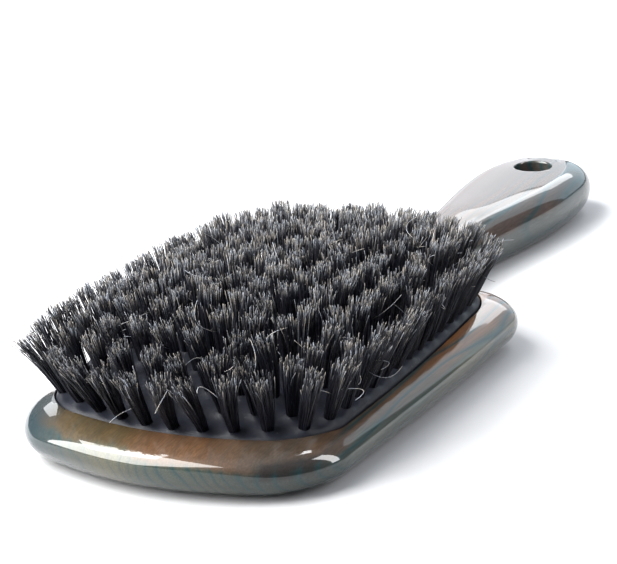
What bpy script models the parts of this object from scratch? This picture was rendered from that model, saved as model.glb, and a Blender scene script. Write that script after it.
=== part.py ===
"""Paddle brush: a one-piece wooden paddle, a domed rubber air cushion that snaps into a
groove in the paddle's recess, and rows of flared bristle tufts held behind the rubber by wires.

The brush lies on its back with the bristles up. +Y runs to the handle, +X across the head,
and the origin is under the middle of the whole brush, on the surface that it lies on.
Lengths are in metres and angles in radians.
"""
import math

import bmesh
import bpy
from mathutils import Matrix, Vector

# ---- Driving dimensions: the wooden paddle ----
OVERALL_LENGTH = 0.250
HEAD_LENGTH = 0.1291          # front of the head to the line of its shoulder corners
HEAD_WIDTH = 0.0827           # between the sides' lines, before they bow outwards
SIDE_BOW = 0.0015             # how far each side swells out at its middle
FRONT_BOW = 0.0136            # how far the front edge swells forward
FRONT_CORNER_RADIUS = 0.0124
SHOULDER_RADIUS = 0.0142
SHOULDER_SLOPE = 0.0084       # how far the shoulders run back before they meet the neck
NECK_FILLET = 0.014
NECK_WIDTH = 0.0187
NECK_RUN = 0.0235             # from the shoulder corners' line to the narrowest place
HANDLE_WIDTH = 0.0327
HANDLE_END_ROUND = 0.0275     # length of the handle's rounded end
HEAD_THICKNESS = 0.0123
NECK_THICKNESS = 0.0135
HANDLE_THICKNESS = 0.0157
HEAD_TOP_EDGE = 0.0108        # how far the head's pebble edge runs in from its widest line
FRONT_UNDER_EDGE = 0.0155
SHOULDER_UNDER_EDGE = 0.0080
HANDLE_EDGE = 0.0056
END_EDGE = 0.0095             # the same at the very end of the handle
WIDEST_HEIGHT = 0.50          # height of the widest line, as a share of the thickness

HOLE_DIAMETER = 0.011
HOLE_FROM_END = 0.019
HOLE_EASE = 0.0007            # rounding of the hole's two rims
END_SQUARENESS = 2.9          # 2 ends the handle in an ellipse, and more makes it squarer

# ---- Driving dimensions: the recess and the cushion ----
FRONT_RIM = 0.0116
FRONT_SIDE_RIM = 0.0044       # beside the front corners: the recess narrows to the handle
REAR_SIDE_RIM = 0.0078
REAR_RIM = 0.0060             # from the shoulder corners' line to the recess corners' line
RECESS_FRONT_BOW = 0.0086
RECESS_REAR_BOW = 0.0078
RECESS_SIDE_BOW = 0.0021
RECESS_FRONT_RADIUS = 0.0118
RECESS_REAR_RADIUS = 0.0132
RECESS_FLOOR = 0.0045         # wood left under the recess
RECESS_EASE = 0.0005          # softening of the recess's edge

GROOVE_DEPTH = 0.0018
GROOVE_DROP = 0.0034          # from the top of the head's front down to the groove's middle

FIT_GAP = 0.0003              # between any two pieces
CUSHION_WALL = 0.0015
CUSHION_PROUD = 0.0011        # from the wood's top to the top of the cushion's steep side
FRONT_PROUD = 0.0             # the same at the front, where the wood's rim hides it
PROUD_RUN = 0.034             # length over which the one changes into the other
CUSHION_SHOULDER = 0.0018     # radius between the steep side and the dome
CUSHION_CROWN = 0.0046        # rise from there to the middle of the dome
DOME_POWER = 2.2              # how flat the dome stays before it falls to its shoulder
VENT_DIAMETER = 0.0016

# ---- Driving dimensions: the bristle tufts ----
ROW_COUNT = 15
TUFT_PITCH = 0.0074
TUFT_MARGIN = 0.0026          # from the recess wall to the outer tufts
TUFT_ROOT_DIAMETER = 0.0022
TUFT_BASE_DIAMETER = 0.0028
TUFT_TIP_DIAMETER = 0.0048
TUFT_LENGTH = 0.0166          # above the rubber
FAN_SIDE = math.radians(21)   # how far the outer tufts lean out
FAN_FRONT = math.radians(32)
FAN_REAR = math.radians(22)
FAN_POWER = 2.2               # how quickly the lean fades towards the middle
CORNER_FAN = 0.5              # share of the forward and backward lean left at a row's ends
TUFT_SIDES = 5
TUFT_SPIN = math.radians(17)  # turns the tufts' flat sides away from the row's line
ROOT_DEPTH = 0.0014           # from the rubber's underside to the wire
ROOT_FOLD = 0.0008            # how far the folded hairs hang below the wire
WIRE_DIAMETER = 0.0008

# ---- Derived places ----
FRONT_Y = -OVERALL_LENGTH / 2
END_Y = OVERALL_LENGTH / 2
CORNER_Y = FRONT_Y + FRONT_BOW
SHOULDER_Y = FRONT_Y + HEAD_LENGTH
NECK_Y = SHOULDER_Y + NECK_RUN
WIDEST_Y = END_Y - HANDLE_END_ROUND

RECESS_FRONT_HALF = HEAD_WIDTH / 2 - FRONT_SIDE_RIM
RECESS_REAR_HALF = HEAD_WIDTH / 2 - REAR_SIDE_RIM
RECESS_FRONT_Y = FRONT_Y + FRONT_RIM
RECESS_CORNER_Y = RECESS_FRONT_Y + RECESS_FRONT_BOW
RECESS_REAR_Y = SHOULDER_Y - REAR_RIM
RECESS_MIDDLE_Y = (RECESS_CORNER_Y + RECESS_REAR_Y) / 2

GROOVE_LEVEL = HEAD_THICKNESS - GROOVE_DROP
GROOVE_HEIGHT = CUSHION_WALL + 2 * FIT_GAP

# ---- How finely the shapes are divided ----
PROFILE_STEPS = 4             # facets in each quarter of the paddle's edge
ARC_STEPS = 4
SHOULDER_STEPS = 2            # facets in the rubber's rounded shoulder
DOME_LOOPS = (0.86, 0.62, 0.3)
HOLE_STEPS = 24
LONGEST_FACET = 0.015
SHARP_ANGLE = math.radians(35)
CUT_CLEAR = 0.001             # how far a cutter reaches past the face it opens
MERGE_DISTANCE = 0.00001


def smooth(t):
    """Ease from 0 to 1."""
    t = min(max(t, 0.0), 1.0)
    return t * t * (3 - 2 * t)


def start_scene():
    """Empty the file and make one collection for the brush and one for its cutters."""
    for thing in list(bpy.data.objects):
        bpy.data.objects.remove(thing, do_unlink=True)
    collections = []
    for name in ("paddle_brush", "cutters"):
        collection = bpy.data.collections.new(name)
        bpy.context.scene.collection.children.link(collection)
        collections.append(collection)
    return collections


def make_material(name, colour, roughness, metallic=0.0):
    material = bpy.data.materials.new(name)
    material.use_nodes = True
    shader = material.node_tree.nodes["Principled BSDF"]
    shader.inputs["Base Color"].default_value = (*colour, 1.0)
    shader.inputs["Roughness"].default_value = roughness
    shader.inputs["Metallic"].default_value = metallic
    return material


def new_object(name, bm, collection, material=None, origin=(0, 0, 0)):
    """Turn a bmesh into a named object in one collection, with its origin where it belongs."""
    bmesh.ops.translate(bm, verts=bm.verts, vec=-Vector(origin))
    mesh = bpy.data.meshes.new(name)
    bm.to_mesh(mesh)
    bm.free()
    if material:
        mesh.materials.append(material)
    thing = bpy.data.objects.new(name, mesh)
    thing.location = origin
    collection.objects.link(thing)
    return thing


def as_cutter(thing):
    thing.hide_render = True
    thing.display_type = "WIRE"
    return thing


def combine(thing, other, operation):
    """Leave an exact Boolean on an object."""
    modifier = thing.modifiers.new(operation.lower() + "_" + other.name, "BOOLEAN")
    modifier.operation = operation
    modifier.solver = "EXACT"
    modifier.object = other


# ---- Outlines: half of a plan shape, from the front of the centre line to its rear ----

def filleted(corners):
    """Points along a path of (x, y, radius) corners, with each corner rounded by an arc."""
    points = [Vector(corners[0][:2])]
    for before, corner, after in zip(corners, corners[1:], corners[2:]):
        here = Vector(corner[:2])
        back = (Vector(before[:2]) - here).normalized()
        ahead = (Vector(after[:2]) - here).normalized()
        half_angle = back.angle(ahead) / 2
        reach = corner[2] / math.tan(half_angle)
        centre = here + (back + ahead).normalized() * (corner[2] / math.sin(half_angle))
        start, end = here + back * reach - centre, here + ahead * reach - centre
        turn = start.angle_signed(end)
        for step in range(ARC_STEPS + 1):
            spin = Matrix.Rotation(-turn * step / ARC_STEPS, 2)
            points.append(centre + spin @ start)
    points.append(Vector(corners[-1][:2]))
    return points


def divided(points, longest):
    """The same path, with its long straight stretches divided."""
    result = [points[0]]
    for start, end in zip(points, points[1:]):
        count = max(1, math.ceil((end - start).length / longest))
        result += [start.lerp(end, step / count) for step in range(1, count + 1)]
    return result


def bowed(points, half_width, front_y, rear_y, front_bow, rear_bow, side_bow):
    """Swell the straight front, rear and sides of an outline into shallow curves."""
    middle, half = (front_y + rear_y) / 2, (rear_y - front_y) / 2
    result = []
    for point in points:
        across = min(abs(point.x) / half_width, 1.0)
        along = max(-1.0, min((point.y - middle) / half, 1.0))
        bow = rear_bow * smooth(2 * along - 0.6) - front_bow * smooth(-2 * along - 0.6)
        swell = side_bow * (1 - along * along) * across
        result.append(Vector((point.x + swell, point.y + bow * (1 - across * across))))
    return result


def offset(points, distance):
    """Move a half outline outwards by a distance, or by one distance for each point."""
    if not isinstance(distance, (list, tuple)):
        distance = [distance] * len(points)
    mirrored = Vector((-points[1].x, points[1].y))
    mirrored_end = Vector((-points[-2].x, points[-2].y))
    path = [mirrored] + list(points) + [mirrored_end]
    result = []
    for before, here, after, step in zip(path, path[1:], path[2:], distance):
        way = ((here - before).normalized() + (after - here).normalized()).normalized()
        result.append(here + Vector((way.y, -way.x)) * step)
    return result


def whole(half):
    """Close a half outline with its mirror image, counter-clockwise from the front."""
    return list(half) + [Vector((-point.x, point.y)) for point in reversed(half[1:-1])]


def handle_half_width(y):
    return (NECK_WIDTH + (HANDLE_WIDTH - NECK_WIDTH) * smooth((y - NECK_Y) / (WIDEST_Y - NECK_Y))) / 2


def paddle_outline():
    """Half of the paddle's widest line: front edge, side, shoulder, neck, handle and its end."""
    path = filleted([
        (0, CORNER_Y, 0),
        (HEAD_WIDTH / 2, CORNER_Y, FRONT_CORNER_RADIUS),
        (HEAD_WIDTH / 2, SHOULDER_Y, SHOULDER_RADIUS),
        (NECK_WIDTH / 2, SHOULDER_Y + SHOULDER_SLOPE, NECK_FILLET),
        (NECK_WIDTH / 2, NECK_Y, 0)])
    path = divided(path, LONGEST_FACET)
    path = bowed(path, HEAD_WIDTH / 2, CORNER_Y, SHOULDER_Y, FRONT_BOW, 0, SIDE_BOW)
    handle_steps = math.ceil((WIDEST_Y - NECK_Y) / LONGEST_FACET)
    for step in range(1, handle_steps + 1):
        y = NECK_Y + (WIDEST_Y - NECK_Y) * step / handle_steps
        path.append(Vector((handle_half_width(y), y)))
    for step in range(1, 2 * ARC_STEPS + 1):
        angle = math.pi / 2 * step / (2 * ARC_STEPS)
        side = max(math.cos(angle), 0.0) ** (2 / END_SQUARENESS)
        along = math.sin(angle) ** (2 / END_SQUARENESS)
        path.append(Vector((HANDLE_WIDTH / 2 * side, WIDEST_Y + HANDLE_END_ROUND * along)))
    path[0].x = path[-1].x = 0.0
    return path


def recess_outline():
    """Half of the recess's plan shape, which follows the head's edge."""
    path = filleted([
        (0, RECESS_CORNER_Y, 0),
        (RECESS_FRONT_HALF, RECESS_CORNER_Y, RECESS_FRONT_RADIUS),
        (RECESS_REAR_HALF, RECESS_REAR_Y, RECESS_REAR_RADIUS),
        (0, RECESS_REAR_Y, 0)])
    path = divided(path, LONGEST_FACET)
    path = bowed(path, max(RECESS_FRONT_HALF, RECESS_REAR_HALF), RECESS_CORNER_Y, RECESS_REAR_Y,
                 RECESS_FRONT_BOW, RECESS_REAR_BOW, RECESS_SIDE_BOW)
    path[0].x = path[-1].x = 0.0
    return path


# ---- The wooden paddle ----

def head_top(y):
    """Height of the head's sloping top."""
    share = (y - FRONT_Y) / (SHOULDER_Y - FRONT_Y)
    return HEAD_THICKNESS + (NECK_THICKNESS - HEAD_THICKNESS) * share


def thickness_at(y):
    """The wood is thinnest at the front and swells towards the handle's end."""
    if y < SHOULDER_Y:
        return head_top(y)
    share = smooth((y - SHOULDER_Y) / (WIDEST_Y - SHOULDER_Y))
    return NECK_THICKNESS + (HANDLE_THICKNESS - NECK_THICKNESS) * share


def edge_at(y, upper):
    """How far the rounded edge runs in: wide on the head, tighter on the handle's sides."""
    share = min((y - FRONT_Y) / (SHOULDER_Y - FRONT_Y), 1.0)
    head_edge = FRONT_UNDER_EDGE + (SHOULDER_UNDER_EDGE - FRONT_UNDER_EDGE) * share
    if upper:
        head_edge = HEAD_TOP_EDGE
    if y > WIDEST_Y:
        return HANDLE_EDGE + (END_EDGE - HANDLE_EDGE) * smooth((y - WIDEST_Y) / HANDLE_END_ROUND)
    return head_edge + (HANDLE_EDGE - head_edge) * smooth((y - SHOULDER_Y) / NECK_RUN)


def make_paddle(collection, material):
    """Loft the pebble-edged half of the paddle and mirror it."""
    outline = paddle_outline()
    bm = bmesh.new()
    rings = []
    for step in range(-PROFILE_STEPS, PROFILE_STEPS + 1):
        angle = math.pi / 2 * step / PROFILE_STEPS
        inward = [-edge_at(point.y, step > 0) * (1 - math.cos(angle)) for point in outline]
        ring = []
        for flat, plan in zip(offset(outline, inward), outline):
            thickness = thickness_at(plan.y)
            middle = thickness * WIDEST_HEIGHT
            rise = thickness - middle if step > 0 else middle
            ring.append(bm.verts.new((flat.x, flat.y, middle + rise * math.sin(angle))))
        rings.append(ring)
    for lower, upper in zip(rings, rings[1:]):
        for corner in range(len(outline) - 1):
            bm.faces.new((lower[corner], lower[corner + 1], upper[corner + 1], upper[corner]))
    for ring in (rings[0], rings[-1]):
        spine = [bm.verts.new((0, point.co.y, point.co.z)) for point in ring[1:-1]]
        spine = [ring[0]] + spine + [ring[-1]]
        for corner in range(len(ring) - 1):
            face = [ring[corner], ring[corner + 1], spine[corner + 1], spine[corner]]
            bm.faces.new(list(dict.fromkeys(face)))
    bmesh.ops.recalc_face_normals(bm, faces=bm.faces)
    paddle = new_object("paddle_body", bm, collection, material)
    mirror = paddle.modifiers.new("mirror", "MIRROR")
    mirror.merge_threshold = MERGE_DISTANCE
    return paddle


def loft(bm, loops):
    """Join closed loops of equal length with quads, and give back the loops' vertices."""
    rings = [[bm.verts.new(point) for point in loop] for loop in loops]
    for lower, upper in zip(rings, rings[1:]):
        for corner in range(len(lower)):
            ahead = (corner + 1) % len(lower)
            bm.faces.new((lower[corner], lower[ahead], upper[ahead], upper[corner]))
    return rings


def make_recess_cutter(collection):
    """The recess with its undercut groove and eased edge, as one solid."""
    half = recess_outline()
    groove_low, groove_high = GROOVE_LEVEL - GROOVE_HEIGHT / 2, GROOVE_LEVEL + GROOVE_HEIGHT / 2
    steps = [(0, RECESS_FLOOR), (0, groove_low), (GROOVE_DEPTH, groove_low),
             (GROOVE_DEPTH, groove_high), (0, groove_high)]
    loops = [[(p.x, p.y, z) for p in whole(offset(half, out))] for out, z in steps]
    for out, above in ((0, -RECESS_EASE), (RECESS_EASE + CUT_CLEAR, CUT_CLEAR)):
        loops.append([(p.x, p.y, head_top(p.y) + above) for p in whole(offset(half, out))])
    bm = bmesh.new()
    rings = loft(bm, loops)
    bm.faces.new(list(reversed(rings[0])))
    bm.faces.new(rings[-1])
    bmesh.ops.triangulate(bm, faces=[face for face in bm.faces if len(face.verts) > 4])
    return as_cutter(new_object("recess_cutter", bm, collection))


def make_hole_cutter(collection):
    """The hanging hole: a turned profile that flares at both faces."""
    radius, top = HOLE_DIAMETER / 2, HANDLE_THICKNESS
    flare = radius + HOLE_EASE + CUT_CLEAR
    profile = [(0, top + CUT_CLEAR), (flare, top + CUT_CLEAR), (radius, top - HOLE_EASE),
               (radius, HOLE_EASE), (flare, -CUT_CLEAR), (0, -CUT_CLEAR)]
    bm = bmesh.new()
    points = [bm.verts.new((x, 0, z)) for x, z in profile]
    for start, end in zip(points, points[1:]):
        bm.edges.new((start, end))
    cutter = new_object("hole_cutter", bm, collection)
    cutter.location = (0, END_Y - HOLE_FROM_END, 0)
    screw = cutter.modifiers.new("turn", "SCREW")
    screw.steps = screw.render_steps = HOLE_STEPS
    screw.use_merge_vertices = True
    screw.merge_threshold = MERGE_DISTANCE
    return as_cutter(cutter)


# ---- The rubber cushion ----

def cushion_ring():
    """Half of the line where the cushion's rounded shoulder meets its dome."""
    return offset(recess_outline(), -FIT_GAP - CUSHION_SHOULDER)


def dome_share(x, y, ring):
    """0 at the middle of the dome and 1 on its outer ring, along a straight line between them."""
    centre = Vector((0, RECESS_MIDDLE_Y))
    way = Vector((abs(x), y)) - centre
    if way.length < 1e-6:
        return 0.0
    for start, end in zip(ring, ring[1:]):
        edge = end - start
        across = way.x * edge.y - way.y * edge.x
        if abs(across) < 1e-12:
            continue
        gap = start - centre
        reach = (gap.x * edge.y - gap.y * edge.x) / across
        along = (gap.x * way.y - gap.y * way.x) / across
        if reach > 0 and -1e-6 <= along <= 1 + 1e-6:
            return 1 / reach
    return 1.0


def shoulder_top(y):
    """Height of the top of the cushion's steep side, which dips towards the front."""
    share = smooth((y - RECESS_FRONT_Y) / PROUD_RUN)
    return head_top(y) + FRONT_PROUD + (CUSHION_PROUD - FRONT_PROUD) * share


def dome_top(y, share):
    return shoulder_top(y) + CUSHION_CROWN * (1 - min(share, 1.0) ** DOME_POWER)


def make_cushion(collection, material):
    """A domed membrane: an open surface from the flange to the crown, with its wall inside."""
    half = recess_outline()
    flange_top = GROOVE_LEVEL + GROOVE_HEIGHT / 2 - FIT_GAP
    loops = [[(p.x, p.y, flange_top) for p in whole(offset(half, out))]
             for out in (GROOVE_DEPTH - FIT_GAP, -FIT_GAP)]
    for step in range(SHOULDER_STEPS + 1):
        angle = math.pi / 2 * step / SHOULDER_STEPS
        out = -FIT_GAP - CUSHION_SHOULDER * (1 - math.cos(angle))
        drop = CUSHION_SHOULDER * (1 - math.sin(angle))
        loops.append([(p.x, p.y, shoulder_top(p.y) - drop)
                      for p in whole(offset(half, out))])
    ring = whole(cushion_ring())
    centre = Vector((0, RECESS_MIDDLE_Y))
    for share in DOME_LOOPS:
        loop = [centre + (p - centre) * share for p in ring]
        loops.append([(p.x, p.y, dome_top(p.y, share)) for p in loop])
    bm = bmesh.new()
    rings = loft(bm, loops)
    bm.faces.new(rings[-1])
    bmesh.ops.recalc_face_normals(bm, faces=bm.faces)
    if sum(face.normal.z for face in bm.faces) < 0:
        bmesh.ops.reverse_faces(bm, faces=bm.faces)
    cushion = new_object("rubber_cushion", bm, collection, material, (0, RECESS_MIDDLE_Y, 0))
    wall = cushion.modifiers.new("wall", "SOLIDIFY")
    wall.thickness = CUSHION_WALL
    wall.offset = -1
    wall.use_even_offset = True
    return cushion


# ---- The bristle tufts ----

def half_width_at(line, y):
    """Half the distance across a half outline at one place along it."""
    for start, end in zip(line, line[1:]):
        if start.y <= y <= end.y:
            return start.x + (end.x - start.x) * (y - start.y) / (end.y - start.y)
    raise ValueError("the outline doesn't reach there")


def tuft_direction(across, along):
    """Tufts stand straight in the middle and fan out towards every edge."""
    side = FAN_SIDE * math.copysign(abs(across) ** FAN_POWER, across)
    fan = FAN_REAR if along > 0 else FAN_FRONT
    fan *= 1 - (1 - CORNER_FAN) * across ** 4
    forward = fan * math.copysign(abs(along) ** FAN_POWER, along)
    return Vector((math.tan(side), math.tan(forward), 1)).normalized()


def tuft_rows():
    """A list of rows, each a list of tufts as (place on the rubber, direction)."""
    line = offset(recess_outline(), -TUFT_MARGIN)
    ring = cushion_ring()
    turns = [(after - before).angle_signed(Vector((0, 1))) for before, after in zip(line, line[1:])]
    front_end = next(p for p, turn in zip(line, turns) if abs(turn) < math.pi / 6)
    rear_end = next(p for p, turn in reversed(list(zip(line, turns))) if abs(turn) < math.pi / 4)
    count = round(2 * half_width_at(line, 0.5 * (front_end.y + rear_end.y)) / TUFT_PITCH) + 1
    rows = []
    for number in range(ROW_COUNT):
        along = number / (ROW_COUNT - 1)
        end_y = front_end.y + (rear_end.y - front_end.y) * along
        middle_y = line[0].y + (line[-1].y - line[0].y) * along
        half_width = half_width_at(line, end_y)
        row = []
        for place in range(count):
            across = 2 * place / (count - 1) - 1
            x = half_width * across
            y = end_y + (middle_y - end_y) * (1 - across * across)
            height = dome_top(y, dome_share(x, y, ring))
            row.append((Vector((x, y, height)), tuft_direction(across, 2 * along - 1)))
        rows.append(row)
    return rows


def along_tuft(base, direction):
    """The placement that turns +Z to a tuft's direction, with its foot on the rubber."""
    turn = Vector((0, 0, 1)).rotation_difference(direction).to_matrix().to_4x4()
    return Matrix.Translation(base) @ turn @ Matrix.Rotation(TUFT_SPIN, 4, "Z")


def add_tuft(bm, base, direction):
    """A tuft narrows to its root under the rubber and flares to its tip above."""
    placement = along_tuft(base, direction)
    root = CUSHION_WALL + ROOT_DEPTH + ROOT_FOLD
    stem = bmesh.ops.create_cone(
        bm, cap_ends=True, segments=TUFT_SIDES, radius1=TUFT_ROOT_DIAMETER / 2,
        radius2=TUFT_BASE_DIAMETER / 2, depth=root,
        matrix=placement @ Matrix.Translation((0, 0, -root / 2)))
    faces = {face for vert in stem["verts"] for face in vert.link_faces}
    for face in faces:
        face.normal_update()
    top = max(faces, key=lambda face: face.normal.dot(direction))
    flare = bmesh.ops.extrude_face_region(bm, geom=[top])
    tip = [item for item in flare["geom"] if isinstance(item, bmesh.types.BMVert)]
    bmesh.ops.delete(bm, geom=[top], context="FACES_ONLY")
    bmesh.ops.scale(bm, verts=tip, vec=Vector((1, 1, 0)) * (TUFT_TIP_DIAMETER / TUFT_BASE_DIAMETER)
                    + Vector((0, 0, 1)), space=placement.inverted())
    bmesh.ops.translate(bm, verts=tip, vec=direction * TUFT_LENGTH)


def make_wire(name, points, collection):
    """A drawing wire along a row's roots, as a closed mesh."""
    curve = bpy.data.curves.new(name, "CURVE")
    curve.dimensions = "3D"
    curve.bevel_depth = WIRE_DIAMETER / 2
    curve.bevel_resolution = 0
    curve.use_fill_caps = True
    spline = curve.splines.new("POLY")
    spline.points.add(len(points) - 1)
    for spot, point in zip(spline.points, points):
        spot.co = (*point, 1)
    tube = bpy.data.objects.new(name, curve)
    collection.objects.link(tube)
    graph = bpy.context.evaluated_depsgraph_get()
    mesh = bpy.data.meshes.new_from_object(tube.evaluated_get(graph))
    bm = bmesh.new()
    bm.from_mesh(mesh)
    bmesh.ops.remove_doubles(bm, verts=bm.verts, dist=MERGE_DISTANCE)
    bm.to_mesh(mesh)
    bm.free()
    wire = bpy.data.objects.new(name, mesh)
    wire.matrix_world = tube.matrix_world
    collection.objects.link(wire)
    bpy.data.objects.remove(tube, do_unlink=True)
    return as_cutter(wire)


def make_tuft_row(number, row, carrier, collection, cutters, material):
    """One row: its tufts, and the wire through their folded roots."""
    name = f"tuft_row_{number:02d}"
    bm = bmesh.new()
    for base, direction in row:
        add_tuft(bm, base, direction)
    middle = sum((base for base, _ in row), Vector()) / len(row)
    thing = new_object(name, bm, collection, material, middle)
    roots = [base - direction * (CUSHION_WALL + ROOT_DEPTH) for base, direction in row]
    combine(thing, make_wire(f"wire_{number:02d}", roots, cutters), "UNION")
    thing.location = middle - carrier.location
    thing.parent = carrier
    return thing


def make_tuft_holes(rows, collection):
    """A prism through the rubber for each tuft, and one for the air vent."""
    bm = bmesh.new()
    reach = 2 * CUSHION_WALL
    radius = TUFT_BASE_DIAMETER / 2 + FIT_GAP / math.cos(math.pi / TUFT_SIDES)
    for row in rows:
        for base, direction in row:
            bmesh.ops.create_cone(bm, cap_ends=True, segments=TUFT_SIDES, radius1=radius,
                                  radius2=radius, depth=2 * reach,
                                  matrix=along_tuft(base, direction))
    before, after = rows[ROW_COUNT // 2], rows[ROW_COUNT // 2 + 1]
    middle = [min(row, key=lambda tuft: abs(tuft[0].x))[0] for row in (before, after)]
    vent = Vector((0, (middle[0].y + middle[1].y) / 2, middle[0].z))
    bmesh.ops.create_cone(bm, cap_ends=True, segments=TUFT_SIDES, radius1=VENT_DIAMETER / 2,
                          radius2=VENT_DIAMETER / 2, depth=2 * reach,
                          matrix=Matrix.Translation(vent))
    return as_cutter(new_object("tuft_holes", bm, collection))


def finish_shading(thing):
    """Smooth shading, with the real edges kept sharp."""
    thing.data.shade_smooth()
    thing.data.set_sharp_from_angle(angle=SHARP_ANGLE)


def build():
    brush, cutters = start_scene()
    wood = make_material("lacquered_wood", (0.20, 0.15, 0.10), 0.15)
    rubber = make_material("black_rubber", (0.02, 0.02, 0.024), 0.45)
    bristle = make_material("black_bristle", (0.025, 0.023, 0.025), 0.4)

    paddle = make_paddle(brush, wood)
    combine(paddle, make_recess_cutter(cutters), "DIFFERENCE")
    combine(paddle, make_hole_cutter(cutters), "DIFFERENCE")

    rows = tuft_rows()
    cushion = make_cushion(brush, rubber)
    combine(cushion, make_tuft_holes(rows, cutters), "DIFFERENCE")

    press_axis = bpy.data.objects.new("cushion_press_axis", None)
    press_axis.location = (0, RECESS_MIDDLE_Y, GROOVE_LEVEL)
    brush.objects.link(press_axis)
    for number, row in enumerate(rows, start=1):
        make_tuft_row(number, row, press_axis, brush, cutters, bristle)

    for thing in brush.objects:
        if thing.type == "MESH":
            finish_shading(thing)


build()
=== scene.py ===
# %% [markdown]
# # A paddle brush
# This lesson builds a flat hair brush that lies on its back. It has a one-piece wooden
# paddle under clear lacquer, a domed rubber cushion that sits in a recess in the paddle,
# and fifteen rows of bristle tufts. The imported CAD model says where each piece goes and
# which of them move. The finely made pieces here stand in for the plain CAD ones.

# %% Load the frame
import math

import bmesh
import bpy
import numpy as np
from mathutils import Matrix, Vector


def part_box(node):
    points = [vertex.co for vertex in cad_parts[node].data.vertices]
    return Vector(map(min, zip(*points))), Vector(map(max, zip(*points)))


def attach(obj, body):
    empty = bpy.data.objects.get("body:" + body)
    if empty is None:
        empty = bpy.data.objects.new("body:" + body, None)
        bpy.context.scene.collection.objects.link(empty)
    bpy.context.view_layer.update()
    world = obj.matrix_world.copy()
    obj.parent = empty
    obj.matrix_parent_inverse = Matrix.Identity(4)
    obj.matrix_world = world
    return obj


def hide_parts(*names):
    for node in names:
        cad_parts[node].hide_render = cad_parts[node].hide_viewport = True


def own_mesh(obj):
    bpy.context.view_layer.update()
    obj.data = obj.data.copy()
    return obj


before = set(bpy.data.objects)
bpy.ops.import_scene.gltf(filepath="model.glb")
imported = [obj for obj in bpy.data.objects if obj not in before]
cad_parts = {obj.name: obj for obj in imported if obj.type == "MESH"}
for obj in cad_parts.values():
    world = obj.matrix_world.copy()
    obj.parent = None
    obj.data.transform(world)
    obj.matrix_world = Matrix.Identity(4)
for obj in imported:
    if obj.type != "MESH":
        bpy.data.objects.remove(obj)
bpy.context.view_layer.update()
MM = 0.001

# %% [markdown]
# ## The view
# The camera stands in front of the brush's right corner and looks down along it, as one
# looks at a brush on a table. A long lens keeps the head and the handle in proportion.
# The three turns are the heading, the tilt and a slight roll, applied in that order.

# %% Camera
EYE = (0.2790, -0.5562, 0.2166)
HEADING, TILT, ROLL = 0.49365, math.pi / 2 - 0.3162, -0.04436
LENS = 145.87

turn = (Matrix.Rotation(HEADING, 3, "Z") @ Matrix.Rotation(TILT, 3, "X")
        @ Matrix.Rotation(ROLL, 3, "Z"))
bpy.ops.object.camera_add(location=EYE, rotation=turn.to_euler())
camera = bpy.context.object
camera.name = "view"
camera.data.lens = LENS
bpy.context.scene.camera = camera
print("the camera looks along", [round(c, 3) for c in turn @ Vector((0, 0, -1))])

# %% [markdown]
# ## The studio
# A glossy lacquer shows its surroundings, so the room is part of the finish. The table is
# one large pale sheet. Soft lights are wide rectangles: the wider a light is, the softer
# its shadow, and each one also shows in the lacquer as a long pale shape. Each light is
# placed by its bearing from the handle's direction, its height in degrees and its
# distance in metres, and then come the two angles it spans and its brightness.

# %% Helper for nodes
def node(tree, kind, inputs=None, **settings):
    """A shader node whose inputs are set to values or linked from other sockets."""
    new = tree.nodes.new("ShaderNode" + kind)
    for name, value in settings.items():
        setattr(new, name, value)
    for name, value in (inputs or {}).items():
        if isinstance(value, bpy.types.NodeSocket):
            tree.links.new(value, new.inputs[name])
        else:
            new.inputs[name].default_value = value
    return new


def ramp(tree, factor, stops):
    """A colour ramp through (place, colour) stops."""
    new = node(tree, "ValToRGB", {"Fac": factor})
    marks = new.color_ramp.elements
    while len(marks) < len(stops):
        marks.new(0.5)
    for mark, (place, colour) in zip(marks, stops):
        mark.position, mark.color = place, (*colour, 1)
    return new.outputs["Color"]


def new_material(name, **constants):
    """A material, its node tree and its shader, with the shader's constants set."""
    material = bpy.data.materials.new(name)
    material.use_nodes = True
    shader = material.node_tree.nodes["Principled BSDF"]
    for socket, value in constants.items():
        shader.inputs[socket.replace("_", " ")].default_value = value
    return material, material.node_tree, shader


# %% Table and room light
bpy.ops.object.select_all(action="DESELECT")
bpy.ops.mesh.primitive_plane_add(size=8)
table = bpy.context.object
table.name = "table_top"
pale_table, _, _ = new_material("pale_table", Base_Color=(0.42, 0.42, 0.435, 1),
                                Roughness=0.8)
table.data.materials.append(pale_table)

room = bpy.data.worlds.new("room")
room.use_nodes = True
way = node(room.node_tree, "TexCoord").outputs["Generated"]
height = node(room.node_tree, "SeparateXYZ", {"Vector": way}).outputs["Z"]
sky = ramp(room.node_tree, height, [
    (0.0, (0.10, 0.10, 0.11)), (0.10, (0.16, 0.17, 0.19)),
    (0.60, (0.26, 0.28, 0.31)), (1.0, (0.60, 0.64, 0.70))])
room.node_tree.links.new(sky, room.node_tree.nodes["Background"].inputs["Color"])
room.node_tree.nodes["Background"].inputs["Strength"].default_value = 1.1
bpy.context.scene.world = room
bpy.context.scene.view_settings.view_transform = "Standard"

# %% Soft lights
def soft_light(name, bearing, rise, distance, spans, radiance, colour=(1, 1, 1)):
    """A rectangular light that faces the brush and spans so many degrees as seen from it."""
    bearing, rise = math.radians(bearing), math.radians(rise)
    place = Vector((math.sin(bearing) * math.cos(rise), math.cos(bearing) * math.cos(rise),
                    math.sin(rise))) * distance
    facing = (-place).to_track_quat("-Z", "Y")
    size = [2 * distance * math.tan(math.radians(span) / 2) for span in spans]
    bpy.ops.object.light_add(type="AREA", location=place, rotation=facing.to_euler())
    light = bpy.context.object
    light.name = name
    light.data.shape = "RECTANGLE"
    light.data.size, light.data.size_y = size
    light.data.energy = math.pi * size[0] * size[1] * radiance
    light.data.color = colour


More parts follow.
